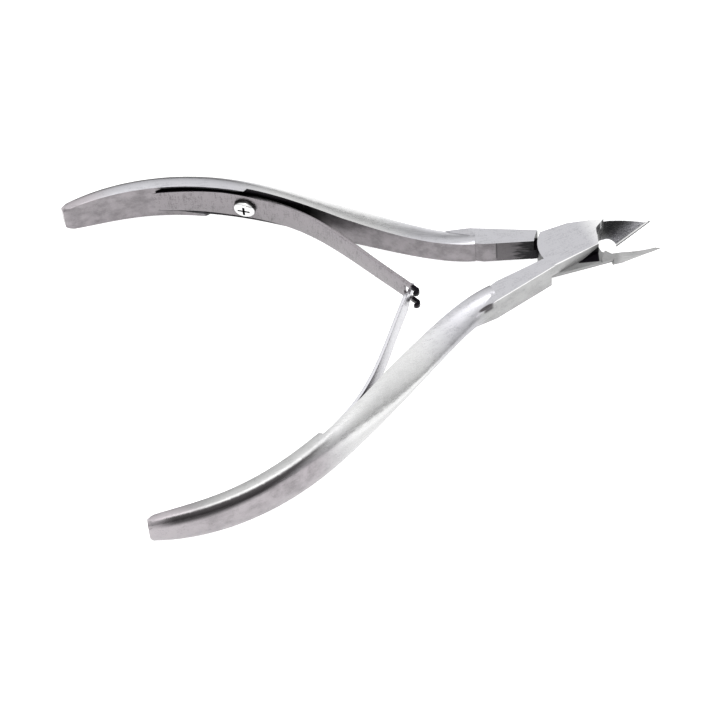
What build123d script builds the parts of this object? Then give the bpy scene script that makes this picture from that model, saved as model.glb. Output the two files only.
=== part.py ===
from build123d import *
import os

# Cuticle nipper, lap joint, double leaf spring. Millimetres, +Z up, jaws towards +X.
# The origin is on the pivot axis, in the flat underside of the joint.
# Each half is drawn shut, with its handle at +Y and Z measured from the middle of
# the joint, and is then mirrored, opened and lifted to its place.

# Joint
LAP = 2.8                    # thickness of each lap; the joint is two laps thick
LAP_BACK = [(-7.0, -4.6), (-7.0, 1.04), (-7.0, 3.65)]        # lap outline inside the shank
LAP_FRONT = (5.4, 0.3)       # and in front, under the top face's end
LAP_GAP = 0.02               # each lap stops this far from the middle plane
LAP_RADIUS = 5.8             # the lap's round end, about the pivot
SHOULDER_GAP = 0.6           # from the round end to the other half's shoulder
OPEN_ANGLE = 10.6            # each half turns this far from shut to open
ROOM = 40.0                  # size of helper blocks that reach past everything they cut

# Pivot screw
PIVOT_SHANK = 1.5            # radius
PIVOT_CLEARANCE = 0.03
PIVOT_HEAD = 2.6
PIVOT_HEAD_HEIGHT = 1.0
PIVOT_HEAD_SUNK = 0.1
PIVOT_HEAD_GAP = 0.1         # round the head
PIVOT_HEAD_FREE = 0.02       # over the head
PIVOT_THREAD_DEPTH = 2.0     # into the top half
PIVOT_THREAD_GAP = 0.01
PIVOT_END_GAP = 0.1          # the screw stops this far short of its hole's end
PIVOT_SLOT = (8.0, 0.7, 1.0)

# Handle: inner face line, shut, from the butt to the joint
HANDLE_LINE = [(-91.5, 17.3), (-80.0, 19.5), (-66.0, 18.8), (-52.0, 14.5), (-40.0, 9.2),
               (-29.0, 4.4), (-17.0, 1.6)]
# Handle sections at those points: thickness, half width at the inner face, and how much
# of that width is left at the section's shoulder
HANDLE_SECTION = [(2.2, 2.9, 1.0), (3.2, 4.15, 1.0), (3.8, 4.65, 0.96), (4.4, 4.6, 0.82),
                  (4.8, 3.6, 0.66), (4.6, 2.8, 0.68), (3.9, 2.75, 0.97)]
SECTION_SHOULDER = 0.6       # where that shoulder is, as a share of the thickness
# Shank: outer line from where it rises out of the handle to the joint
SHANK_START = -22.0
SHANK_RAMP = 4.5             # its top and bottom rise to full height over this length
SHANK_RISE = 1.3             # and by this much
SHANK_OUTER = [(-22.0, 6.0), (-18.5, 5.45), (-5.0, 3.4)]
SHANK_INNER = 1.0
SHANK_BACK = [(-15.5, 1.4), (-22.0, 3.0)]    # its inner side, buried in the handle

# Lap outline, shut: the side under the handle and the side that runs into the jaw
LAP_HANDLE_SIDE = [(-3.6, 3.2), (4.6, 2.7)]
LAP_JAW_SIDE = [(-3.6, -4.55), (1.5, -4.05), (5.4, -2.8)]
TOP_FACE_END = [(7.9, -1.75), (5.8, -0.7)]   # the top lap's flat face stops at this line
UNDERCUT = (4.2, 2.9)        # jaw side of the joint: its reach at the middle and underneath
UNDERCUT_BLOCK = (20.0, 14.0, 10.0)
UNDERCUT_SHIFT = -2.0        # along the joint

# Jaw, shut, seen from the side: X and Z
JAW_TIP = (16.8, -1.7)
JAW_HEEL = (9.7, -5.1)
JAW_TOP = {1: [(6.4, 1.7), (9.2, 1.0)], -1: [(5.0, 1.5), (9.4, 1.1)]}   # by half
JAW_NOTCH = (8.2, -2.8)
JAW_NOTCH_MIDDLE = (9.25, -3.55)
JAW_BACK = 3.5               # the jaw's blank starts here, inside the lap
JAW_BLANK = 5.0              # and is this wide
JAW_HIGH = 5.9               # height over the edge at which its faces' widths are given
JAW_OUTSIDE = -2.9           # outer face there
JAW_INSIDE = -2.05           # inner face there
ROOT_END = {1: TOP_FACE_END, -1: [(8.0, -2.6), (6.4, -1.5), (5.6, -1.1)]}   # by half
ROOT_BACK = -3.6
EDGE_BEVEL = 0.9             # flat bevel along the cutting edge
EDGE_FLAT = -0.02            # the hollow starts this far behind the bevel
HOLLOW_RADIUS = 18.0         # hollow grinding of the inner face
OUTER_RADIUS = 10.8          # rounding of the outer face

# Leaf springs. Places along the handle's inner face line are fractions of its length.
LEAF = 0.65                  # thickness
LEAF_BACK = 0.215            # the leaf's back end
LEAF_REST = 0.32             # it lies on the handle here
SPRING_SCREW = 0.435         # and its screw is here
# Recess for the leaf in the handle's inner face: share of the handle line, and depth
SEAT_FLOOR = [(0.21, 0.7), (LEAF_REST, 0.7), (SPRING_SCREW, 0.7), (0.5675, 0.42), (0.70, -0.1)]
SEAT_FRONT = 2.0             # the cutting block stands this far in front of the face
# That recess above and below its middle, by distance from the crossing: a pocket round the
# back end, then open to both sides of the handle, sooner below
SEAT_ABOVE = [(49.9, 3.4), (49.0, 4.0), (46.0, 4.2), (37.0, 4.4), (33.0, 6.0), (0.0, 6.0)]
SEAT_BELOW = [(49.9, 2.9), (46.0, 3.4), (44.0, 4.0), (41.0, 6.0), (0.0, 6.0)]
LEAF_SUNK = 0.30             # the leaf's middle lies this deep, so its face is flush
LEAF_FREE = [(-48.4, 12.4), (-42.0, 7.2), (-35.8, 0.9), (-29.5, -5.5)]
LEAF_SPANS = 10              # spans that the bent strip's two faces are drawn with
LEAF_PAST = 2.4              # how far prongs and tongue run past the crossing
LEAF_BACK_WIDTH = (49.5, 2.85)      # distance from the crossing, and half width there
LEAF_SCREW_WIDTH = (36.0, 3.4)
LEAF_TIP_HALF = 2.55
PRONG_END_HALF = 2.35
FORK_SLOT_HALF = 1.35
SLOT_POINT = 0.6             # the slot ends in a point this long
TONGUE_HALF = 1.1
TONGUE_END_HALF = 0.75
FORK_ROOT = 1.2              # slot and tongue start this far before the crossing

# Spring screws
SCREW_HEAD = 2.1
SCREW_HEAD_HEIGHT = 1.0
SCREW_SHANK = 1.0
SCREW_DEPTH = 2.4
SCREW_CLEARANCE = 0.05
SCREW_HOLE_GAP = 0.15        # the leaf's hole is this much wider than the screw
SCREW_HOLE_END = 0.3         # and the handle's hole this much deeper
SCREW_INSIDE = 1.0           # depth of the point that the screw is aimed at
SCREW_EDGE = 0.75            # rounding of its head
CROSS = (2.3, 0.45, 1.6)     # cross recess: length, width, twice the depth
SCREW_HEAD_GAP = 0.12        # the leaf is bent under the flat head


def upright(points, low, high):
    """A solid from a closed outline in plan, between two heights."""
    face = make_face(Plane.XY.offset(low) * Polyline(*points, close=True))
    return extrude(face, high - low, dir=(0, 0, 1))


def handle_section(place, size):
    """A D-shaped section: flat inner face, rounded outer side."""
    thick, half, left = size
    shoulder = (thick * SECTION_SHOULDER, half * left)
    flat = Line((0, -half), (0, half))
    back = Spline((0, half), shoulder, (thick, 0), (shoulder[0], -shoulder[1]), (0, -half))
    return place * make_face(Curve() + [flat, back])


def beside(line, share, depth):
    """A point at a share of a line's length, moved to its left by a depth."""
    along = line % share
    return line @ share + Vector(-along.Y, along.X) * depth


def inner_face(share, depth=0.0):
    """A point of the handle's inner face line, or so deep under it."""
    return beside(Spline(*HANDLE_LINE), share, depth)


def handle():
    """The handle lofted through its sections, square to the inner face line."""
    line = Spline(*HANDLE_LINE)
    sections = []
    for point, size in zip(HANDLE_LINE, HANDLE_SECTION):
        along = line.tangent_at(line.param_at_point(Vector(*point)))
        outward = Vector(-along.Y, along.X, 0)
        place = Plane(origin=(*point, 0), x_dir=outward, z_dir=along)
        sections.append(handle_section(place, size))
    return loft(sections)


def shank():
    """The squared block between handle and joint."""
    end = -LAP_RADIUS
    outline = [*SHANK_OUTER, (end, SHANK_INNER), *SHANK_BACK]
    full = SHANK_START + SHANK_RAMP
    low = LAP - SHANK_RISE
    lower = [(SHANK_START, -low), (full, -LAP), (0, -LAP)]
    side = lower + [(x, -z) for x, z in reversed(lower)]
    ramped = extrude(Plane.XZ * make_face(Polyline(*side, close=True)), ROOM, both=True)
    return upright(outline, -LAP, LAP) & ramped


def lap(side):
    """One lap: a plate round the pivot that joins the shank to the jaw's root."""
    low, high = (LAP_GAP, LAP) if side > 0 else (-LAP, -LAP_GAP)
    outline = [*LAP_BACK, *LAP_HANDLE_SIDE, LAP_FRONT, *reversed(TOP_FACE_END), *reversed(LAP_JAW_SIDE)]
    plate = upright(outline, low, high)
    rim = Cylinder(LAP_RADIUS, 4 * LAP)
    ahead = Pos(ROOM / 2, 0, 0) * Box(ROOM, ROOM, ROOM)
    shank_side = Pos(-ROOM / 2, ROOM / 2 + SHANK_INNER, 0) * Box(ROOM, ROOM, ROOM)
    return plate & (rim + ahead + shank_side)


def undercut():
    """What slopes away from the joint's jaw side, below its middle."""
    first, last = LAP_JAW_SIDE[0], LAP_JAW_SIDE[-1]
    along = Vector(last[0] - first[0], last[1] - first[1]).normalized()
    lean = UNDERCUT[0] - UNDERCUT[1]
    slope = Vector(-along.Y * lean, along.X * lean, -LAP)
    face = Plane(origin=(0, -UNDERCUT[0], 0), x_dir=along, z_dir=slope.cross(along))
    return face * Pos(UNDERCUT_SHIFT, 0, UNDERCUT_BLOCK[2] / 2) * Box(*UNDERCUT_BLOCK)


def across_edge(y, w):
    """A place on the section square to the cutting edge; w is the height above the edge."""
    lie = (JAW_TIP[0] - JAW_HEEL[0], JAW_TIP[1] - JAW_HEEL[1])
    length = (lie[0] ** 2 + lie[1] ** 2) ** 0.5
    return Vector(JAW_HEEL[0] - lie[1] / length * w, y, JAW_HEEL[1] + lie[0] / length * w)


def along_edge_cylinder(near, far, radius):
    """A cylinder beside the jaw whose wall passes two points of that section."""
    lie = Vector(JAW_TIP[0] - JAW_HEEL[0], 0, JAW_TIP[1] - JAW_HEEL[1]).normalized()
    chord = Vector(far[0] - near[0], far[1] - near[1])
    middle = Vector(near[0] + far[0], near[1] + far[1]) / 2
    rise = (radius ** 2 - (chord.length / 2) ** 2) ** 0.5
    aside = Vector(chord.Y, -chord.X).normalized()
    centre = middle + aside * rise
    base = Plane(origin=across_edge(centre.X, centre.Y), z_dir=lie)
    return base * Cylinder(radius, 2 * ROOM)


def jaw(half_side):
    """The jaw on the -Y side: side outline, convex outside, hollow-ground inside."""
    top = JAW_TOP[half_side]
    start = (JAW_BACK, top[0][1])
    side = Polyline(start, *top, JAW_TIP, JAW_HEEL)
    notch = ThreePointArc(JAW_HEEL, JAW_NOTCH_MIDDLE, JAW_NOTCH)
    rest = Polyline(JAW_NOTCH, (JAW_BACK, -LAP), start)
    blank = extrude(Plane.XZ * make_face(Curve() + [side, notch, rest]), JAW_BLANK)
    outside = along_edge_cylinder((0.0, 0.0), (JAW_OUTSIDE, JAW_HIGH), OUTER_RADIUS)
    hollow = along_edge_cylinder((EDGE_FLAT, EDGE_BEVEL), (JAW_INSIDE, JAW_HIGH), HOLLOW_RADIUS)
    root_end = ROOT_END[half_side]
    root_start = [(JAW_BACK, root_end[-1][1]), (JAW_BACK, ROOT_BACK)]
    root = upright([*root_start, LAP_JAW_SIDE[-1], *root_end], -LAP, LAP)
    blade = (blank & outside) - hollow
    return blade + (blank & root)


def half(side):
    """One whole half, shut, handle at +Y; side is +1 for the half whose lap is on top."""
    body = handle() + shank() + jaw(side)
    body -= Cylinder(LAP_RADIUS + SHOULDER_GAP, 4 * LAP)
    body += lap(side)
    return body - undercut()


def leaf_line():
    """The leaf's middle line: laid in its seat, past the screw, then out to the crossing."""
    laid = [inner_face(share, LEAF_SUNK) for share in (LEAF_BACK, LEAF_REST, SPRING_SCREW)]
    return Spline(*laid, *LEAF_FREE)


def leaf_strip(half_width):
    """The bent strip: the leaf's line thickened, as high as the widest point."""
    line = leaf_line()
    past = (line % 1) * LEAF_PAST
    shares = [step / LEAF_SPANS for step in range(LEAF_SPANS + 1)]
    back = Spline(*[beside(line, share, LEAF / 2) for share in shares])
    face = Spline(*[beside(line, share, -LEAF / 2) for share in shares])
    start = Polyline(face @ 0, back @ 0)
    end = Polyline(back @ 1, (back @ 1) + past, (face @ 1) + past, face @ 1)
    outline = Curve() + [back, face, start, end]
    return Pos(0, 0, -half_width) * extrude(make_face(outline), 2 * half_width, dir=(0, 0, 1))


def leaf_face_plane():
    """The plane that the leaf's free arm lies in, seen square on; x runs back from the tip."""
    tip = Vector(*LEAF_FREE[-1])
    knee = Vector(*LEAF_FREE[0])
    back = (knee - tip).normalized()
    return Plane(origin=tip, x_dir=back, z_dir=Vector(back.Y, -back.X, 0))


def leaf_outline(forked):
    """The leaf's shape in that plane: back end, waist, and fork or tongue."""
    past = -LEAF_PAST - 1
    upper = [LEAF_BACK_WIDTH, LEAF_SCREW_WIDTH, (FORK_ROOT, LEAF_TIP_HALF)]
    if forked:
        upper += [(past, PRONG_END_HALF), (past, FORK_SLOT_HALF), (FORK_ROOT, FORK_SLOT_HALF)]
        upper += [(FORK_ROOT + SLOT_POINT, 0)]
    else:
        upper += [(FORK_ROOT - SLOT_POINT, TONGUE_HALF), (past, TONGUE_END_HALF), (past, 0)]
    lower = [(x, -z) for x, z in reversed(upper) if z > 0]
    return make_face(Polyline(*upper, *lower, close=True))


def leaf(forked):
    """One leaf spring with the hole for its screw, shut, on the +Y handle."""
    strip = leaf_strip(LEAF_SCREW_WIDTH[1] + LEAF)
    shape = leaf_face_plane() * extrude(leaf_outline(forked), ROOM, both=True)
    strip -= screw_place() * Cylinder(SCREW_SHANK + SCREW_HOLE_GAP, ROOM / 5)
    return (strip & shape).solid()


def seat():
    """What is milled out of the handle's inner face behind the leaf, fading to nothing."""
    floor = [inner_face(share, depth) for share, depth in SEAT_FLOOR]
    front = [inner_face(share, -SEAT_FRONT) for share, depth in SEAT_FLOOR]
    sides = Curve() + [Spline(*front), Line(front[-1], floor[-1]), Spline(*floor),
                       Line(floor[0], front[0])]
    recess = extrude(make_face(sides), ROOM, both=True)
    below = [(x, -z) for x, z in reversed(SEAT_BELOW)]
    pocket = make_face(Polyline(*SEAT_ABOVE, *below, close=True))
    return recess & (leaf_face_plane() * extrude(pocket, ROOM, both=True))


def screw_place():
    """The spring screw's seat on the leaf: Z points out of the handle's inner face."""
    seat_point = inner_face(SPRING_SCREW, LEAF_SUNK - LEAF / 2 - SCREW_HEAD_GAP)
    inside = inner_face(SPRING_SCREW, SCREW_INSIDE)
    return Plane(origin=seat_point, z_dir=seat_point - inside)


def spring_screw():
    """Pan-head screw with a cross recess."""
    head = Pos(0, 0, SCREW_HEAD_HEIGHT / 2) * Cylinder(SCREW_HEAD, SCREW_HEAD_HEIGHT)
    head = fillet(head.edges().group_by(Axis.Z)[-1], SCREW_EDGE)
    arm = Box(*CROSS)
    head -= Pos(0, 0, SCREW_HEAD_HEIGHT) * (arm + Rot(0, 0, 90) * arm)
    shank_length = LEAF + SCREW_DEPTH
    shank_body = Pos(0, 0, -shank_length / 2) * Cylinder(SCREW_SHANK, shank_length)
    return head + shank_body


def finished_half(side):
    """A half with its leaf seat, screw hole and pivot hole, shut."""
    body = half(side) - seat()
    depth = LEAF + SCREW_DEPTH + SCREW_HOLE_END
    body -= screw_place() * Pos(0, 0, -depth / 2) * Cylinder(SCREW_SHANK + SCREW_CLEARANCE, depth)
    if side > 0:
        thread = Cylinder(PIVOT_SHANK + PIVOT_THREAD_GAP, PIVOT_THREAD_DEPTH)
        return body - Pos(0, 0, PIVOT_THREAD_DEPTH / 2) * thread
    body -= Cylinder(PIVOT_SHANK + PIVOT_CLEARANCE, 4 * LAP)
    sink = PIVOT_HEAD_SUNK + PIVOT_HEAD_HEIGHT
    return body - Pos(0, 0, -LAP + sink / 2) * Cylinder(PIVOT_HEAD + PIVOT_HEAD_GAP, sink)


def pivot_screw():
    """The slotted pivot screw, head down, in the joint's own heights."""
    bottom = -LAP + PIVOT_HEAD_SUNK
    height = PIVOT_HEAD_HEIGHT - PIVOT_HEAD_FREE
    head = Pos(0, 0, bottom + PIVOT_HEAD_HEIGHT / 2) * Cylinder(PIVOT_HEAD, height)
    slot = Pos(0, 0, bottom) * Box(*PIVOT_SLOT)
    length = PIVOT_THREAD_DEPTH - PIVOT_END_GAP - bottom
    shank_body = Pos(0, 0, bottom + length / 2) * Cylinder(PIVOT_SHANK, length)
    return head + shank_body - slot


def opened(shape, side):
    """Lift to the frame; the bottom half opens clockwise, the top half is its mirror image."""
    turned = Pos(0, 0, LAP) * Rot(0, 0, -OPEN_ANGLE) * shape
    return mirror(turned, about=Plane.XZ) if side > 0 else turned


NODES = {
    "top_half": opened(finished_half(1), 1),
    "bottom_half": opened(finished_half(-1), -1),
    "pivot_screw": Pos(0, 0, LAP) * pivot_screw(),
    "tongue_spring": opened(leaf(False), 1),
    "forked_spring": opened(leaf(True), -1),
    "tongue_spring_screw": opened(screw_place() * spring_screw(), 1),
    "forked_spring_screw": opened(screw_place() * spring_screw(), -1),
}

os.makedirs("parts", exist_ok=True)
for name, solid in NODES.items():
    export_step(solid, f"parts/{name}.step")
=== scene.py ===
import math
import bmesh
import bpy
import numpy as np
from mathutils import Matrix, Vector

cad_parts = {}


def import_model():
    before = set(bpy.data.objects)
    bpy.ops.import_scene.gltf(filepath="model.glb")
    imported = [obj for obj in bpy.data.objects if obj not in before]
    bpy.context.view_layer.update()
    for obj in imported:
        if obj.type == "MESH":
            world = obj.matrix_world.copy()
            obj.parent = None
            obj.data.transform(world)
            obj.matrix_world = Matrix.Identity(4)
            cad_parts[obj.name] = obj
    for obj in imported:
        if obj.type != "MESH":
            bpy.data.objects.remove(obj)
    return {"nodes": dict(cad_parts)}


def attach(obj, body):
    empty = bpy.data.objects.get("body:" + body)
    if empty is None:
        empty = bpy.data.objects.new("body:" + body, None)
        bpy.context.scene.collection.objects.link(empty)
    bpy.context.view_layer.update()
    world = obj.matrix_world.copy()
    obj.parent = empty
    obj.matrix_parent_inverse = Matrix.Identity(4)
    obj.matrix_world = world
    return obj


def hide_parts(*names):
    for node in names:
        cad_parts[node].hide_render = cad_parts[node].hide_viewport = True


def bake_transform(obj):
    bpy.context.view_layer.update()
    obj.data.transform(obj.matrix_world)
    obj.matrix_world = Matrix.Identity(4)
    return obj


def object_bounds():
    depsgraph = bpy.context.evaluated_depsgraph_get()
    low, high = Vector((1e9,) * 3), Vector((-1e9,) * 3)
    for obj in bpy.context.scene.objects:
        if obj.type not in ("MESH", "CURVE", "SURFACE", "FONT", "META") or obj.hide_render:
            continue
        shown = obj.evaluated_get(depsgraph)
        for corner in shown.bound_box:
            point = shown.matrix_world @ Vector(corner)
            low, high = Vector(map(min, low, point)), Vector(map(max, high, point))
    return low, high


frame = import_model()
CAD_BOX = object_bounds()
NODES = frame["nodes"]

# ---------------------------------------------------------------- driving sizes
# Millimetres in a half's own shut position: handle at +Y, jaws towards +X, and Z from
# the joint's middle plane. placed() opens, mirrors and lifts a point into the frame.
MM = 0.001
LAP = 2.8                       # height of the joint's middle plane over the mount
OPEN_ANGLE = math.radians(10.6)
# the handle's inner face line
HANDLE_LINE = [(-91.5, 17.3), (-80.0, 19.5), (-66.0, 18.8), (-52.0, 14.5), (-40.0, 9.2),
               (-29.0, 4.4), (-17.0, 1.6)]
LINE_STATIONS = 400             # points that the handle line is worked out at
LEAF_FREE = [(-48.4, 12.4), (-42.0, 7.2), (-35.8, 0.9), (-29.5, -5.5)]
LEAF_LAID = (0.215, 0.32, 0.435)        # shares of the handle line: back end, rest, screw
LEAF_SUNK = 0.30                # how far the leaf's middle lies behind that line
LEAF_THICK = 0.65
LEAF_END_THICK = 0.35           # the back end is thinned to this share,
LEAF_THIN_RUN = 2.5             # and the share grows by one over this length
LEAF_HALVES = {0.0: 2.6, 1.2: 2.85, 13.5: 3.4, 47.0: 2.6, 50.0: 2.55}    # half width by length
LEAF_EDGE = 0.14                # rounding of the strip's edges
LEAF_STATIONS = 90
STRIP_SHARP = math.radians(50)  # strip edges keener than this are shaded sharp
FORK_ROOT = 1.2                 # the fork starts this far before the crossing
STRIP_STOP = 0.6                # the full-width strip stops at this share of it
PRONG_START = 1.1               # and the prongs start at this share of it
PRONG = (1.93, 0.58)            # a prong's distance from the middle, and half width
PRONG_PAST = 1.7                # the prong runs on straight this far past the crossing
PRONG_CURL = 0.40               # radius that the prong's end is curled to
CURL_TURN = math.radians(180)
CURL_STEPS = 11
TONGUE = 0.95                   # half width of the tongue
TONGUE_PAST = 1.5               # and its length past the crossing
TONGUE_TAPER = 0.25             # it loses this share of its width over that length
TONGUE_SHOULDER = 1.6           # and widens this much per length behind its root
EDGE_BREAK = 0.13               # width of the halves' broken edges
EDGE_ROUND = 0.6                # how round they are
EDGE_ANGLE = math.radians(38)   # convex edges keener than this are broken
ROOT_CORNER = (7.7, -2.3, 0.1)  # the bottom half's thin root corner: beyond X and Y, below Z
ROOT_CORNER_TOP = 1.8           # and where it is drawn in to
BUTT_TAPER = 0.82               # the butt's end face is this much smaller than its section
BUTT_START = -0.08              # metres along X
BUTT_FACING = -0.8              # its normal's X is below this
SHARP_HANDLE = math.radians(24)  # edges keener than these are shaded sharp
SHARP_JAW = math.radians(14)
JAW_START = 0.0045              # metres along X: the jaws keep their keen edges
JAW_HEEL = (9.7, -5.1)          # the ends of the cutting edge: X and Z
JAW_TIP = (16.8, -1.7)
HOLLOW_START = (-0.02, 0.9)     # the hollow face begins here: Y, and height over the edge
HOLLOW_LENGTH = 5.0             # its height
HOLLOW_LEAN = 0.406             # and how much it leans out over that
HOLLOW_BEND = 0.0325            # and sags
SCREW_HEAD_GAP = 0.12           # a spring screw's seat is this far under its leaf
SHANK_RIDGE = [(-18.5, 5.45), (-5.0, 3.4)]      # the outer top edges, in plan
LAP_RIDGE = [(-5.0, 3.2), (4.6, 2.7)]
MERGE_POINTS = 1e-6             # metres: points and edges this short are cleared away
MERGE_EDGES = 2e-6

# ---------------------------------------------------------------- camera
CAMERA_PLACE = Vector((-0.10286, -0.33644, 0.51089))
CAMERA_AIM = Vector((0.099480, 0.535991, -0.838342))
CAMERA_RIGHT = Vector((0.964260, -0.259861, -0.051719))
CAMERA_LENS = 169.63            # millimetres, on a sensor this wide:
CAMERA_SENSOR = 36


def camera():
    """The photograph's camera."""
    data = bpy.data.cameras.new("camera")
    data.sensor_width = CAMERA_SENSOR
    data.lens = CAMERA_LENS
    data.clip_start = 0.01
    eye = bpy.data.objects.new("camera", data)
    bpy.context.scene.collection.objects.link(eye)
    right = (CAMERA_RIGHT - CAMERA_AIM * CAMERA_RIGHT.dot(CAMERA_AIM)).normalized()
    up = right.cross(CAMERA_AIM)
    eye.location = CAMERA_PLACE
    eye.rotation_mode = "QUATERNION"
    eye.rotation_quaternion = Matrix((right, up, -CAMERA_AIM)).transposed().to_quaternion()
    bpy.context.scene.camera = eye


# ---------------------------------------------------------------- node helpers
class Tree:
    """A short way to add linked shader nodes."""

    def __init__(self, tree):
        self.tree = tree

    def add(self, kind, values=None, **settings):
        node = self.tree.nodes.new(kind)
        for name, value in settings.items():
            setattr(node, name, value)
        for key, value in (values or {}).items():
            if isinstance(value, bpy.types.NodeSocket):
                self.tree.links.new(value, node.inputs[key])
            else:
                node.inputs[key].default_value = value
        return node

    def math(self, operation, a, b=0.0, clamp=False):
        return self.add("ShaderNodeMath", {0: a, 1: b}, operation=operation, use_clamp=clamp).outputs[0]

    def step(self, value, low, high):
        """0 below low, 1 above high, smooth between; reversed when low is above high."""
        ends = (low, high, 0.0, 1.0) if low < high else (high, low, 1.0, 0.0)
        inputs = dict(zip((0, 1, 2, 3, 4), (value, *ends)))
        return self.add("ShaderNodeMapRange", inputs, interpolation_type="SMOOTHSTEP").outputs[0]

    def mix(self, share, a, b):
        node = self.tree.nodes.new("ShaderNodeMix")
        node.data_type = "RGBA"
        for socket, value in zip((node.inputs[0], node.inputs[6], node.inputs[7]), (share, a, b)):
            if isinstance(value, bpy.types.NodeSocket):
                self.tree.links.new(value, socket)
            else:
                socket.default_value = value
        return node.outputs[2]

    def noise(self, where, scale, detail=2.0, stretch=(1, 1, 1)):
        where = self.add("ShaderNodeMapping", {0: where, 3: stretch}).outputs[0]
        values = {"Vector": where, "Scale": scale, "Detail": detail, "Roughness": 0.6}
        return self.add("ShaderNodeTexNoise", values).outputs[0]

    def noise_of(self, p, scale, stretch):
        """Noise at a place given by its three coordinates."""
        where = self.add("ShaderNodeCombineXYZ", {0: p[0], 1: p[1], 2: p[2]}).outputs[0]
        return self.noise(where, scale, 2, stretch)


def grey(value, tint=(1, 1, 1)):
    """An opaque grey, tinted."""
    return (value * tint[0], value * tint[1], value * tint[2], 1)


MAUVE = (1.035, 0.965, 1.01)
LAVENDER = (0.985, 0.98, 1.03)
# black; most zones use it as painted shade in gaps, recesses and hollows
DARK = (0.007, 0.006, 0.008, 1)
POLISHED_TONE, FOLD_TONE = grey(0.42), grey(0.5)
INNER_TONES, INNER_AT_JOINT = (grey(0.16, MAUVE), grey(0.23, MAUVE)), grey(0.11, MAUVE)
BUTT_TONES, BUTT_END_TONE = (grey(0.21, MAUVE), grey(0.28, MAUVE)), grey(0.29, MAUVE)
BUTT_TOP_TONES = (grey(0.32), grey(0.17))
# painted dark reflection along the butt's rounded outer corner
BAND_REFLECTION_TONE = grey(0.04, MAUVE)
SIDE_TONES = (grey(0.30), grey(0.34))
# a painted highlight along the joint's top ridge, and painted shade in the small hollow the ridge grows out
# of
RIDGE_HIGHLIGHT_TONE, SCOOP_SHADE_TONE = grey(0.6), grey(0.06, MAUVE)
SCRIBED_TONE = grey(0.06, MAUVE)
# the hollow's mottled tones, and the painted dark reflection along its top and on the root's end
HOLLOW_TONES, HOLLOW_DARK_REFLECTION_TONE = (grey(0.32, LAVENDER), grey(0.7, LAVENDER)), grey(0.06)
BRIGHT_TONES = (grey(0.55), grey(0.92))
SATIN_TONES, SATIN_ROOT_TONE = (grey(0.30), grey(0.35)), grey(0.24)
BEVEL_TONE, EDGE_TONE = grey(0.42), grey(0.03)
# painted dark reflection on the screw head's side
SCREW_RIM_REFLECTION_TONE = grey(0.05)

# Where zones begin and end along a half, in X. A pair fades in from its first to its second.
TO_BUTT = (-48, -62)
TO_BUTT_TIP = (-76, -88)
TO_BUTT_END = (-80, -89)
POLISHED_RUN = (-56, -31)
RECESS_RUN, RECESS_RIM_RUN = (-78, -41), (-73.6, -54)
SHOULDER_RUN = (-7.2, -3.0)     # the gap between the lap's end and the shoulder
LINE_RUN = (-13.25, -13.0)      # the scribed line
RIDGE_SPLIT = -4.6              # the ridge passes from the shank to the lap
RIDGE_ENDS = (-18.3, 4.6)
TO_JAW = (7, 8)
SCOOP_PLACE = (19.6, 0.62, 5.35, 2.3)   # -X and its scale, Y and its scale


def steel(name, side, zones=(), brushed=(0.1, 1, 1), base=0.33, tint=LAVENDER, rough=0.34,
          grain_share=0.2, bump=0.25):
    """Satin stainless steel with brushed grain, fine speckle, broad mottling and zones.
    A zone gives its mask, its colour, and how much smoother it is than the rest."""
    material = bpy.data.materials.new(name)
    material.use_nodes = True
    material.node_tree.nodes.clear()
    t = Tree(material.node_tree)
    where = t.add("ShaderNodeTexCoord")
    metres = where.outputs["Object"]
    turn = (0, 0, OPEN_ANGLE)
    values = {0: metres, 1: (0, 0, -LAP), 2: turn, 3: (1 / MM, side / MM, 1 / MM)}
    place = t.add("ShaderNodeMapping", values).outputs[0]
    values = {0: where.outputs["Normal"], 2: turn, 3: (1, side, 1)}
    facing = t.add("ShaderNodeMapping", values, vector_type="VECTOR").outputs[0]
    p = t.add("ShaderNodeSeparateXYZ", {0: place}).outputs
    n = t.add("ShaderNodeSeparateXYZ", {0: facing}).outputs
    mottle = t.step(t.noise(place, 0.42, 3), 0.3, 0.7)
    speck = t.step(t.noise(place, 4.2, 2), 0.3, 0.7)
    grain = t.step(t.noise(place, 3.2, 2, brushed), 0.3, 0.7)
    colour = grey(base, tint)
    smooth = 0.0
    for zone in zones:
        mask, zone_colour, polish = zone(t, p, n, mottle, speck)
        colour = t.mix(mask, colour, zone_colour)
        smooth = t.math("ADD", smooth, t.math("MULTIPLY", mask, polish))
    share = t.math("SUBTRACT", grain_share, t.math("MULTIPLY", smooth, 1.5))
    share = t.math("MINIMUM", t.math("MAXIMUM", share, 0.04), grain_share)
    wear = t.math("ADD", t.math("MULTIPLY", mottle, 0.6), t.math("ADD", speck, grain))
    wear = t.math("ADD", t.math("MULTIPLY", t.math("SUBTRACT", wear, 1.3), share), 1)
    shaded = t.mix(wear, grey(0), colour)
    roughness = t.math("ADD", t.math("MULTIPLY", grain, 0.12), rough - 0.05)
    roughness = t.math("MAXIMUM", t.math("SUBTRACT", roughness, smooth), 0.08)
    height = t.math("ADD", t.math("MULTIPLY", grain, 0.7), t.math("MULTIPLY", speck, 0.3))
    values = {"Strength": bump, "Distance": 0.00002, "Height": height}
    bumped = t.add("ShaderNodeBump", values).outputs[0]
    values = {"Base Color": shaded, "Metallic": 1.0, "Roughness": roughness, "Normal": bumped}
    shader = t.add("ShaderNodeBsdfPrincipled", values)
    t.add("ShaderNodeOutputMaterial", {0: shader.outputs[0]})
    return material


def dress(node, material):
    """Give a CAD node its material."""
    NODES[node].data.materials.clear()
    NODES[node].data.materials.append(material)


def all_of(t, *masks):
    """Masks multiplied together."""
    whole = masks[0]
    for mask in masks[1:]:
        whole = t.math("MULTIPLY", whole, mask)
    return whole


def between(t, value, low, high, soft):
    """1 between low and high, with both ends faded over twice the soft width."""
    return all_of(t, t.step(value, low - soft, low + soft), t.step(value, high + soft, high - soft))


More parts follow.
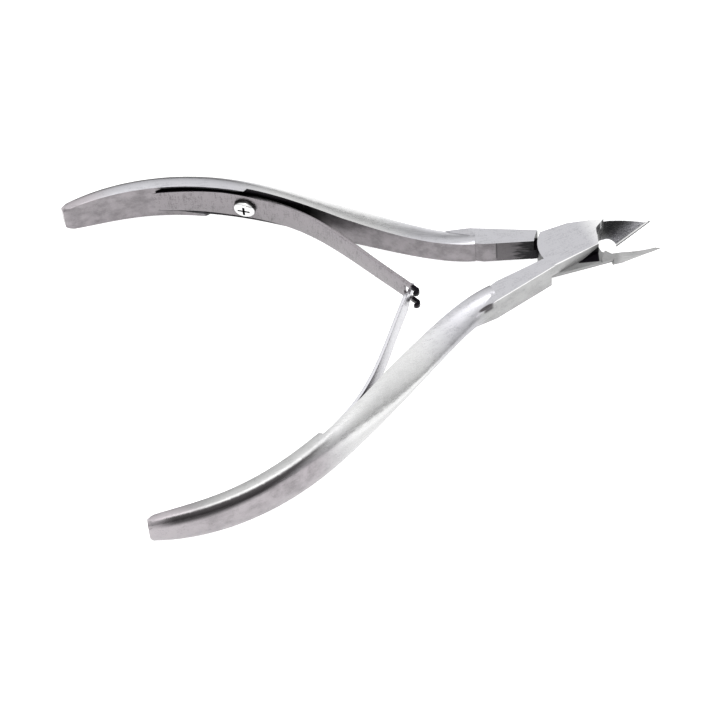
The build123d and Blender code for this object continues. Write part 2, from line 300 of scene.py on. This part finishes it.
def beside_line(t, p, start, end):
    """How far a point is outside a line in plan."""
    slope = (end[1] - start[1]) / (end[0] - start[0])
    along = t.math("MULTIPLY", t.math("SUBTRACT", p[0], start[0]), slope)
    return t.math("SUBTRACT", t.math("SUBTRACT", p[1], start[1]), along)


def polished_middle(t, p, n, mottle, speck):
    """The middle of the handle's outside is buffed bright."""
    mask = all_of(t, between(t, p[0], *POLISHED_RUN, 6), t.step(n[1], -0.3, 0.1))
    fold = all_of(t, between(t, n[2], 0.3, 0.6, 0.1), t.step(n[1], 0.3, 0.6))
    return mask, t.mix(fold, POLISHED_TONE, FOLD_TONE), 0.08


def inner_face(t, p, n, mottle, speck):
    """The flat inner face is mauve and mottled, and darker past the scribed line."""
    mask = all_of(t, t.step(n[1], -0.35, -0.75), t.step(p[0], -4, -6))
    colour = t.mix(mottle, *INNER_TONES)
    return mask, t.mix(t.step(p[0], -13.4, -13.0), colour, INNER_AT_JOINT), -0.05


def outer_butt(t, p, n, mottle, speck):
    """The last third of the handle is left satin."""
    mask = all_of(t, t.step(n[1], 0.55, 0.9), t.step(p[0], *TO_BUTT))
    return mask, t.mix(mottle, *BUTT_TONES), 0.0


def butt_top(t, p, n, mottle, speck):
    """The butt's upper strip is darker than the middle of the handle."""
    mask = all_of(t, t.step(n[2], 0.5, 0.8), t.step(p[0], *TO_BUTT))
    return mask, t.mix(t.step(p[0], *TO_BUTT_TIP), *BUTT_TOP_TONES), 0.0


def ridge_band_painted_reflection(t, p, n, mottle, speck):
    """The painted dark reflection along the butt's rounded outer corner, widest near the end."""
    low = t.math("ADD", t.math("MULTIPLY", t.math("ADD", p[0], 91.0), 0.071), 1.9)
    over = t.math("SUBTRACT", p[2], low)
    mask = all_of(t, t.step(over, -0.4, 0.7), t.step(n[1], 0.25, 0.5), t.step(p[0], -50, -60),
                  t.step(p[0], -93, -87))
    return mask, BAND_REFLECTION_TONE, 0.1


def side_face(t, p, n, mottle, speck):
    """The joint's flat outer side, from the shank on, is an even light satin."""
    mask = all_of(t, t.step(n[1], 0.6, 0.9), t.step(p[0], -23, -19), t.step(p[0], 6, 5))
    return mask, t.mix(mottle, *SIDE_TONES), -0.15


def ridge_painted_highlight(t, p, n, mottle, speck):
    """The narrow painted highlight where the joint's top meets its side, standing for the light its edge
    catches.
    """
    shank = all_of(t, t.step(t.math("ABSOLUTE", beside_line(t, p, *SHANK_RIDGE)), 0.15, 0.06),
                   between(t, p[0], RIDGE_ENDS[0], RIDGE_SPLIT, 0.2))
    lap = all_of(t, t.step(t.math("ABSOLUTE", beside_line(t, p, *LAP_RIDGE)), 0.15, 0.06),
                 between(t, p[0], RIDGE_SPLIT, RIDGE_ENDS[1], 0.2))
    top = t.step(p[2], LAP - 0.2, LAP - 0.1)
    return all_of(t, t.math("MAXIMUM", shank, lap), top), RIDGE_HIGHLIGHT_TONE, 0.1


def ridge_scoop_painted_shade(t, p, n, mottle, speck):
    """Painted shade in the small hollow that the ridge grows out of."""
    back, back_scale, out, out_scale = SCOOP_PLACE
    along = t.math("MULTIPLY", t.math("ADD", p[0], back), back_scale)
    across = t.math("MULTIPLY", t.math("SUBTRACT", p[1], out), out_scale)
    reach = t.math("ADD", t.math("POWER", along, 2.0), t.math("POWER", across, 2.0))
    return all_of(t, t.step(reach, 1.1, 0.4), t.step(p[2], 0.8, 1.4)), SCOOP_SHADE_TONE, 0.05


def depth_in_handle(t, p):
    """How far a point lies behind the handle's inner face line."""
    curve = t.tree.nodes.new("ShaderNodeFloatCurve")
    low, high, top = HANDLE_LINE[0][0], HANDLE_LINE[-1][0], 20.0
    points = curve.mapping.curves[0].points
    line = [((x - low) / (high - low), y / top) for x, y in spline(HANDLE_LINE, 25)]
    points[0].location, points[-1].location = line[0], line[-1]
    for spot in line[1:-1]:
        points.new(*spot)
    curve.mapping.update()
    share = t.math("DIVIDE", t.math("SUBTRACT", p[0], low), high - low)
    t.tree.links.new(share, curve.inputs[1])
    return t.math("SUBTRACT", p[1], t.math("MULTIPLY", curve.outputs[0], top))


def recess(t, p, n, mottle, speck):
    """Painted shade: the floor behind the leaf, and the thin rim above it, are painted black where the recess
    lies in shadow.
    """
    depth = depth_in_handle(t, p)
    floor = all_of(t, between(t, depth, 0.24, 1.1, 0.12), between(t, p[0], *RECESS_RUN, 2.5))
    rim = all_of(t, t.step(p[2], 3.8, 4.0), between(t, p[0], *RECESS_RIM_RUN, 0.6))
    return all_of(t, t.math("MAXIMUM", floor, rim), t.step(n[1], -0.3, -0.6)), DARK, 0.0


def rim_painted_shade(t, p, n, mottle, speck):
    """Painted shade: the lap's round end and the floor of the gap round it are painted black."""
    rim = all_of(t, t.step(n[0], -0.2, -0.5), between(t, p[0], *SHOULDER_RUN, 0.1), t.step(p[1], 2.6, 2.2))
    ground = all_of(t, t.step(t.math("ABSOLUTE", p[2]), 0.12, 0.06), t.step(n[2], 0.8, 0.95),
                    t.step(p[0], -1.0, -2.0))
    return t.math("MAXIMUM", rim, ground), DARK, 0.0


def lap_shadow(t, p, n, mottle, speck):
    """Painted shadow in the hollow under the lap's edge, next to the jaws."""
    slope = t.math("MULTIPLY", t.math("SUBTRACT", p[0], 1.0), 0.52)
    side = all_of(t, t.step(t.math("SUBTRACT", p[2], slope), 0.1, 0.0), t.step(n[1], 0.6, 0.9),
                  between(t, p[0], 0.9, 7.0, 0.1))
    lapped = all_of(t, t.step(t.math("ABSOLUTE", p[2]), 0.12, 0.06), t.step(n[2], 0.8, 0.95),
                    between(t, p[0], 1.4, 5.2, 0.1), t.step(p[1], -2.9, -2.7))
    return t.math("MAXIMUM", side, lapped), DARK, 0.0


def joint_painted_shade(t, p, n, mottle, speck):
    """The inner face is painted dark and streaky where it meets the joint, a painted shade where the other
    lap closes over it.
    """
    streak = t.math("MULTIPLY", t.math("SUBTRACT", t.noise_of(p, 1.3, (0.4, 1, 1.8)), 0.5), 8.0)
    reach = t.math("ADD", p[0], streak)
    return all_of(t, t.step(reach, -10.4, -7.4), t.step(n[1], -0.3, -0.6), t.step(p[0], 0, -1)), DARK, 0.0


def shoulder_painted_shade(t, p, n, mottle, speck):
    """Painted shade: the shoulder round the lap is painted black."""
    mask = all_of(t, between(t, p[0], *SHOULDER_RUN, 0.1), t.step(n[0], 0.2, 0.5),
                  t.step(t.math("ABSOLUTE", n[2]), 0.4, 0.2))
    return mask, DARK, 0.0


def scribed_line(t, p, n, mottle, speck):
    """A thin dark line across the inner face, short of its lower edge."""
    mask = all_of(t, between(t, p[0], *LINE_RUN, 0.05), t.step(n[1], -0.6, -0.8),
                  t.step(p[2], -2.2, -1.6))
    return mask, SCRIBED_TONE, 0.0


def in_hollow(t, p):
    """How near a point is to the jaw's hollow face: 0 on it, negative outside it."""
    high = t.math("SUBTRACT", above_edge(t, p), HOLLOW_START[1])
    rest = t.math("SUBTRACT", HOLLOW_LENGTH, high)
    face = t.math("ADD", t.math("MULTIPLY", high, -HOLLOW_LEAN), HOLLOW_START[0])
    face = t.math("SUBTRACT", face, t.math("MULTIPLY", t.math("MULTIPLY", high, rest), HOLLOW_BEND))
    return t.math("SUBTRACT", p[1], face)


def hollow_jaw(t, p, n, mottle, speck):
    """The jaw's hollow-ground inner face is dark and mottled; a dark reflection is painted along its top and
    on the root's end beside it.
    """
    hollow = all_of(t, t.step(in_hollow(t, p), -0.16, -0.07), t.step(p[0], 7.2, 7.5), t.step(n[1], 0.1, 0.3))
    root = all_of(t, t.step(n[1], 0.3, 0.6), t.step(p[0], 5.6, 5.8), t.step(p[2], 0.7, 0.5),
                  t.step(t.math("ABSOLUTE", n[2]), 0.5, 0.3))
    mask = t.math("MAXIMUM", hollow, root)
    colour = t.mix(all_of(t, mottle, speck), *HOLLOW_TONES)
    top = t.step(above_edge(t, p), 4.7, 5.4)
    return mask, t.mix(t.math("MAXIMUM", top, root), colour, HOLLOW_DARK_REFLECTION_TONE), 0.05


def bright_jaw(t, p, n, mottle, speck):
    """The joint's top is buffed brighter towards the jaw, and so is the jaw's outside."""
    return t.step(p[0], 2.5, 7.5), t.mix(t.step(p[0], 7.0, 9.0), *BRIGHT_TONES), 0.05


def satin_jaw(t, p, n, mottle, speck):
    """The lower jaw and its root are an even satin."""
    root = all_of(t, t.step(p[0], -5.2, -4.6), t.step(p[1], -2.0, -2.4))
    colour = t.mix(t.step(p[0], 9.2, 8.2), t.mix(mottle, *SATIN_TONES), SATIN_ROOT_TONE)
    return t.math("MAXIMUM", t.step(p[0], 1.0, 2.0), root), colour, -0.3


def above_edge(t, p):
    """Height over the cutting edge, square to it."""
    run, rise = JAW_TIP[0] - JAW_HEEL[0], JAW_TIP[1] - JAW_HEEL[1]
    length = math.hypot(run, rise)
    down = t.math("MULTIPLY", t.math("SUBTRACT", p[0], JAW_HEEL[0]), -rise / length)
    return t.math("ADD", down, t.math("MULTIPLY", t.math("SUBTRACT", p[2], JAW_HEEL[1]), run / length))


def jaw_bevel(t, p, n, mottle, speck):
    """The bevel along the cutting edge is ground clean."""
    mask = all_of(t, t.step(above_edge(t, p), 0.95, 0.85), t.step(p[1], -0.1, -0.05),
                  t.step(p[0], *TO_JAW))
    return mask, BEVEL_TONE, 0.1


def jaw_edge(t, p, n, mottle, speck):
    """The cutting edge itself shows as a dark line."""
    mask = all_of(t, t.step(above_edge(t, p), 0.42, 0.3), t.step(p[1], -0.3, -0.2),
                  t.step(p[0], *TO_JAW))
    return mask, EDGE_TONE, 0.1


def butt_end(t, p, n, mottle, speck):
    """The last millimetres of the butt are satin on every side."""
    return all_of(t, t.step(p[0], *TO_BUTT_END), t.step(n[2], -0.5, 0.0)), BUTT_END_TONE, 0.0


def on_line(line, share):
    """A point of the handle line, and the line's left-hand normal there."""
    i = round(share * (LINE_STATIONS - 1))
    run = line[i + 1] - line[i - 1]
    run /= np.linalg.norm(run)
    return line[i], np.array([-run[1], run[0]])


def screw_seat():
    """A spring screw's seat, and the way its head faces, in plan."""
    spot, left = on_line(spline(HANDLE_LINE, LINE_STATIONS), LEAF_LAID[2])
    return spot + left * (LEAF_SUNK - LEAF_THICK / 2 - SCREW_HEAD_GAP), -left


def from_screw(t, p):
    """Height over a spring screw's seat, and distance from its axis."""
    seat, out = screw_seat()
    from_x, from_y = t.math("SUBTRACT", p[0], seat[0]), t.math("SUBTRACT", p[1], seat[1])
    height = t.math("ADD", t.math("MULTIPLY", from_x, out[0]), t.math("MULTIPLY", from_y, out[1]))
    across = t.math("SUBTRACT", t.math("MULTIPLY", from_x, out[1]), t.math("MULTIPLY", from_y, out[0]))
    reach = t.math("SQRT", t.math("ADD", t.math("POWER", across, 2.0), t.math("POWER", p[2], 2.0)))
    return height, reach


def screw_cross_painted_shade(t, p, n, mottle, speck):
    """Painted shade: the inside of the cross in the head is painted black."""
    height, reach = from_screw(t, p)
    return all_of(t, t.step(height, 0.96, 0.88), t.step(reach, 1.55, 1.4)), DARK, 0.0


def screw_rim_painted_reflection(t, p, n, mottle, speck):
    """The head's side is painted dark, a painted dark reflection round its rim."""
    out = screw_seat()[1]
    facing = t.math("ADD", t.math("MULTIPLY", n[0], out[0]), t.math("MULTIPLY", n[1], out[1]))
    reach = from_screw(t, p)[1]
    return all_of(t, t.step(facing, 0.62, 0.3), t.step(reach, 1.6, 1.8)), SCREW_RIM_REFLECTION_TONE, 0.0


def leaf_top_edge_painted_shade(t, p, n, mottle, speck):
    """The leaf's upper edge is painted dark where it lies in its recess, as painted shade."""
    return all_of(t, t.step(n[2], 0.3, 0.7), t.step(p[0], -50, -58)), DARK, 0.0


def prong_end(t, p, n, mottle, speck):
    """The prongs are black from bending, past the crossing."""
    (knee_x, knee_y), (tip_x, tip_y) = LEAF_FREE[0], LEAF_FREE[-1]
    length = math.hypot(tip_x - knee_x, tip_y - knee_y)
    past = t.math("MULTIPLY", t.math("SUBTRACT", p[0], tip_x), (tip_x - knee_x) / length)
    past = t.math("ADD", past, t.math("MULTIPLY", t.math("SUBTRACT", p[1], tip_y), (tip_y - knee_y) / length))
    return t.step(past, 0.2, 0.7), DARK, 0.0


HALF_ZONES = (outer_butt, polished_middle, butt_end, ridge_band_painted_reflection, side_face, inner_face, recess,
              joint_painted_shade, shoulder_painted_shade, rim_painted_shade, scribed_line, ridge_painted_highlight)
JAW_ZONES = (lap_shadow, hollow_jaw, jaw_bevel, jaw_edge)


# ---------------------------------------------------------------- curves and sweeps
def spline(points, count):
    """Points evenly spread along a natural cubic spline through the given ones."""
    knots = np.array(points, float)
    t = np.concatenate([[0], np.cumsum(np.linalg.norm(np.diff(knots, axis=0), axis=1))])
    gap = np.diff(t)
    size = len(t)
    matrix, bend = np.eye(size), np.zeros((size, 2))
    for i in range(1, size - 1):
        matrix[i, i - 1:i + 2] = gap[i - 1], 2 * (gap[i - 1] + gap[i]), gap[i]
        bend[i] = 6 * ((knots[i + 1] - knots[i]) / gap[i] - (knots[i] - knots[i - 1]) / gap[i - 1])
    curve = np.linalg.solve(matrix, bend)
    s = np.linspace(0, t[-1], count)
    k = np.clip(np.searchsorted(t, s) - 1, 0, size - 2)
    ahead, behind, h = (s - t[k])[:, None], (t[k + 1] - s)[:, None], gap[k][:, None]
    ends = (curve[k] * behind**3 + curve[k + 1] * ahead**3) / (6 * h)
    from_behind = (knots[k] / h - curve[k] * h / 6) * behind
    return ends + from_behind + (knots[k + 1] / h - curve[k + 1] * h / 6) * ahead


def placed(x, y, z, side):
    """A shut half's point in the open frame, in metres."""
    c, s = math.cos(OPEN_ANGLE), math.sin(OPEN_ANGLE)
    return Vector(((x * c + y * s) * MM, (y * c - x * s) * side * MM, (z + LAP) * MM))


def shut(x, y):
    """The opened bottom half's point in its shut position, in plan."""
    c, s = math.cos(OPEN_ANGLE), math.sin(OPEN_ANGLE)
    return x * c - y * s, x * s + y * c


def ring(centre, across, thick, half_width, edge, height=0.0):
    """A rounded rectangle round a point of the strip's line: (x, y, z) points."""
    corners = []
    for sign_z, sign_n, start in ((1, 1, 0), (-1, 1, 1), (-1, -1, 2), (1, -1, 3)):
        for step in range(4):
            angle = (start + step / 3) * math.pi / 2
            z = sign_z * (half_width - edge) + edge * math.cos(angle) + height
            out = sign_n * (thick / 2 - edge) + edge * math.sin(angle)
            corners.append((centre[0] + across[0] * out, centre[1] + across[1] * out, z))
    return corners


def swept(name, rings, side, material):
    """A closed strip through rings of points."""
    mesh = bmesh.new()
    rows = [[mesh.verts.new(placed(*point, side)) for point in row] for row in rings]
    for near, far in zip(rows, rows[1:]):
        for i in range(len(near)):
            j = (i + 1) % len(near)
            mesh.faces.new((near[i], near[j], far[j], far[i]))
    mesh.faces.new(rows[0])
    mesh.faces.new(reversed(rows[-1]))
    bmesh.ops.recalc_face_normals(mesh, faces=mesh.faces)
    data = bpy.data.meshes.new(name)
    mesh.to_mesh(data)
    mesh.free()
    data.shade_smooth()
    data.set_sharp_from_angle(angle=STRIP_SHARP)
    piece = bpy.data.objects.new(name, data)
    bpy.context.scene.collection.objects.link(piece)
    data.materials.append(material)
    return piece


# ---------------------------------------------------------------- light and floor
def world():
    """A soft studio sky, brighter overhead."""
    sky = bpy.data.worlds.new("studio")
    bpy.context.scene.world = sky
    sky.use_nodes = True
    sky.node_tree.nodes.clear()
    t = Tree(sky.node_tree)
    up = t.add("ShaderNodeSeparateXYZ", {0: t.add("ShaderNodeTexCoord").outputs["Generated"]}).outputs[2]
    ramp = t.add("ShaderNodeValToRGB", {0: up})
    stops = [(0.0, 0.35), (0.22, 0.45), (0.55, 0.8), (0.82, 1.0), (1.0, 0.95)]
    while len(ramp.color_ramp.elements) < len(stops):
        ramp.color_ramp.elements.new(0.5)
    for element, (spot, value) in zip(ramp.color_ramp.elements, stops):
        element.position = spot
        element.color = grey(value)
    glow = t.add("ShaderNodeBackground", {0: ramp.outputs[0], 1: 1.9})
    t.add("ShaderNodeOutputWorld", {0: glow.outputs[0]})


def softbox(name, place, size, power):
    """A rectangular lamp that faces the nipper."""
    lamp = bpy.data.lights.new(name, "AREA")
    lamp.shape = "RECTANGLE"
    lamp.size, lamp.size_y = size
    lamp.energy = power
    box = bpy.data.objects.new(name, lamp)
    box.location = place
    towards = Vector((-0.04, 0, 0)) - Vector(place)
    box.rotation_euler = towards.to_track_quat("-Z", "Y").to_euler()
    bpy.context.scene.collection.objects.link(box)


def floor():
    """A plain pale floor that the nipper lies on."""
    bpy.ops.mesh.primitive_plane_add(size=6, location=(0, 0, CAD_BOX[0].z))
    ground = bpy.context.object
    ground.name = "floor"
    material = bpy.data.materials.new("pale_floor")
    material.use_nodes = True
    shader = material.node_tree.nodes["Principled BSDF"]
    shader.inputs["Base Color"].default_value = grey(0.7)
    shader.inputs["Emission Color"].default_value = grey(1)
    shader.inputs["Emission Strength"].default_value = 0.6
    shader.inputs["Roughness"].default_value = 0.9
    shader.inputs["Specular IOR Level"].default_value = 0.0
    ground.data.materials.append(material)


def sharpen(data):
    """Mark sharp edges: the joint and jaws are nearly all flat faces, the handles round."""
    mesh = bmesh.new()
    mesh.from_mesh(data)
    for edge in mesh.edges:
        if len(edge.link_faces) == 2:
            x = min(v.co.x for v in edge.verts)
            limit = SHARP_JAW if x > JAW_START else SHARP_HANDLE
            edge.smooth = edge.calc_face_angle() < limit
    mesh.to_mesh(data)
    mesh.free()


def keen_edges(mesh):
    """The convex edges behind the jaws that are sharp enough to be broken."""
    keen = []
    for edge in mesh.edges:
        if len(edge.link_faces) == 2 and edge.is_convex:
            if edge.calc_face_angle() > EDGE_ANGLE and max(v.co.x for v in edge.verts) < JAW_START:
                keen.append(edge)
    return keen


def taper_butt(mesh):
    """Draw the butt's end face in, so that its edge is softened."""
    end = {v for face in mesh.faces if face.normal.x < BUTT_FACING for v in face.verts if v.co.x < BUTT_START}
    middle = sum((v.co for v in end), Vector()) / len(end)
    for v in end:
        v.co = middle + (v.co - middle) * BUTT_TAPER


def trim_root(mesh):
    """Draw in the thin corner of the jaw's root that would hang below the jaw."""
    for v in mesh.verts:
        x, y = shut(v.co.x / MM, v.co.y / MM)
        if x > ROOT_CORNER[0] and y < ROOT_CORNER[1] and v.co.z / MM < ROOT_CORNER[2]:
            v.co.z = ROOT_CORNER_TOP * MM


def softened(name, node, material):
    """A copy of a half with its sharp outer edges broken, in place of the CAD node."""
    mesh = bmesh.new()
    mesh.from_mesh(NODES[node].data)
    bmesh.ops.remove_doubles(mesh, verts=mesh.verts, dist=MERGE_POINTS)
    bmesh.ops.dissolve_degenerate(mesh, edges=mesh.edges, dist=MERGE_EDGES)
    taper_butt(mesh)
    if node == "bottom_half":
        trim_root(mesh)
    bmesh.ops.bevel(mesh, geom=keen_edges(mesh), offset=EDGE_BREAK * MM, segments=2,
                    profile=EDGE_ROUND, clamp_overlap=True, affect="EDGES")
    data = bpy.data.meshes.new(name)
    mesh.to_mesh(data)
    mesh.free()
    data.materials.clear()
    data.materials.append(material)
    data.shade_smooth()
    sharpen(data)
    piece = bpy.data.objects.new(name, data)
    bpy.context.scene.collection.objects.link(piece)
    flat = piece.modifiers.new("flat_faces", "WEIGHTED_NORMAL")
    flat.keep_sharp = True
    flat.weight = 100
    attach(piece, node)
    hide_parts(node)
    return piece


def leaf_path():
    """The leaf's middle line, from its back end to the crossing, with its left-hand normals."""
    base = spline(HANDLE_LINE, LINE_STATIONS)
    laid = []
    for share in LEAF_LAID:
        spot, normal = on_line(base, share)
        laid.append(spot + normal * LEAF_SUNK)
    line = spline(laid + [np.array(point) for point in LEAF_FREE], LEAF_STATIONS)
    run = np.gradient(line, axis=0)
    run /= np.linalg.norm(run, axis=1)[:, None]
    return line, np.stack([-run[:, 1], run[:, 0]], axis=1)


def half_width_at(length):
    """The strip's half width at a length from its back end."""
    keys = sorted(LEAF_HALVES)
    return float(np.interp(length, keys, [LEAF_HALVES[key] for key in keys]))


def beyond(line, left, reach):
    """A point past the line's end."""
    run = np.array([left[-1][1], -left[-1][0]])
    return line[-1] + run * reach


def curl(line, left, start):
    """A prong's line: on past the crossing and curled back over the outside."""
    stops = (start, start / 2, 0.0, PRONG_PAST / 2, PRONG_PAST)
    points = [(beyond(line, left, reach), left[-1]) for reach in stops]
    centre = beyond(line, left, PRONG_PAST) - left[-1] * PRONG_CURL
    run = np.array([left[-1][1], -left[-1][0]])
    for step in range(1, CURL_STEPS + 1):
        angle = step / CURL_STEPS * CURL_TURN
        out = left[-1] * math.cos(angle) + run * math.sin(angle)
        points.append((centre + out * PRONG_CURL, out))
    return points


def leaf_strip(name, side, forked, material):
    """A leaf as far as the crossing, and past it with its tongue if it has one."""
    line, left = leaf_path()
    length = np.concatenate([[0], np.cumsum(np.linalg.norm(np.diff(line, axis=0), axis=1))])
    rings = []
    for i in range(len(line)):
        to_go = length[-1] - length[i]
        if to_go < FORK_ROOT * STRIP_STOP:
            break
        half = half_width_at(length[i])
        if not forked:
            half = min(half, TONGUE + max(to_go - FORK_ROOT, 0) * TONGUE_SHOULDER)
        thick = LEAF_THICK * min(1, LEAF_END_THICK + length[i] / LEAF_THIN_RUN)
        centre = line[i] - left[i] * (LEAF_THICK - thick) / 2
        rings.append(ring(centre, left[i], thick, half, LEAF_EDGE))
    if not forked:
        for share in (0.0, 0.5, 1.0):
            centre = beyond(line, left, TONGUE_PAST * share)
            half = TONGUE * (1 - TONGUE_TAPER * share)
            rings.append(ring(centre, left[-1], LEAF_THICK, half, LEAF_EDGE))
    return swept(name, rings, side, material)


def fork_prongs(side, material):
    """The forked leaf's two prongs, curled back past the crossing."""
    prongs = []
    for label, up in (("upper", 1), ("lower", -1)):
        rows = [ring(spot, out, LEAF_THICK, PRONG[1], LEAF_EDGE, up * PRONG[0])
                for spot, out in curl(*leaf_path(), -FORK_ROOT * PRONG_START)]
        prongs.append(swept(f"fork_prong_{label}", rows, side, material))
    return prongs


camera()
world()
softbox("overhead", (0.0, -0.18, 0.62), (0.5, 0.35), 2.0)
floor()
bpy.context.scene.view_settings.view_transform = "Standard"

BOTTOM_STEEL = steel("steel_bottom_half", 1, (*HALF_ZONES, satin_jaw, *JAW_ZONES))
TOP_STEEL = steel("steel_top_half", -1, (bright_jaw, butt_top, *HALF_ZONES, ridge_scoop_painted_shade, *JAW_ZONES))
softened("half_bottom", "bottom_half", BOTTOM_STEEL)
softened("half_top", "top_half", TOP_STEEL)
SPRING_STEEL = dict(base=0.21, tint=MAUVE, grain_share=0.46, brushed=(1, 1, 0.12))
FORKED = steel("spring_steel_forked", 1, (leaf_top_edge_painted_shade,), **SPRING_STEEL)
PRONG_STEEL = steel("spring_steel_prong", 1, (prong_end,), **SPRING_STEEL)
TONGUE_STEEL = steel("spring_steel_tongue", -1, base=0.46, rough=0.3, grain_share=0.16)
SCREW_STEEL = dict(base=0.66, tint=(1, 1, 1), rough=0.22, bump=0.1, grain_share=0.08)
SCREW_ZONES = (screw_rim_painted_reflection, screw_cross_painted_shade)
dress("pivot_screw", steel("screw_steel_pivot", 1, **SCREW_STEEL))
dress("forked_spring_screw", steel("screw_steel_forked", 1, SCREW_ZONES, **SCREW_STEEL))
dress("tongue_spring_screw", steel("screw_steel_tongue", -1, SCREW_ZONES, **SCREW_STEEL))

forked = [leaf_strip("forked_leaf_spring", 1, True, FORKED), *fork_prongs(1, PRONG_STEEL)]
tongue = [leaf_strip("tongue_leaf_spring", -1, False, TONGUE_STEEL)]
for piece in forked:
    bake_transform(piece)
for piece in tongue:
    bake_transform(piece)
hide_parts("forked_spring")
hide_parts("tongue_spring")
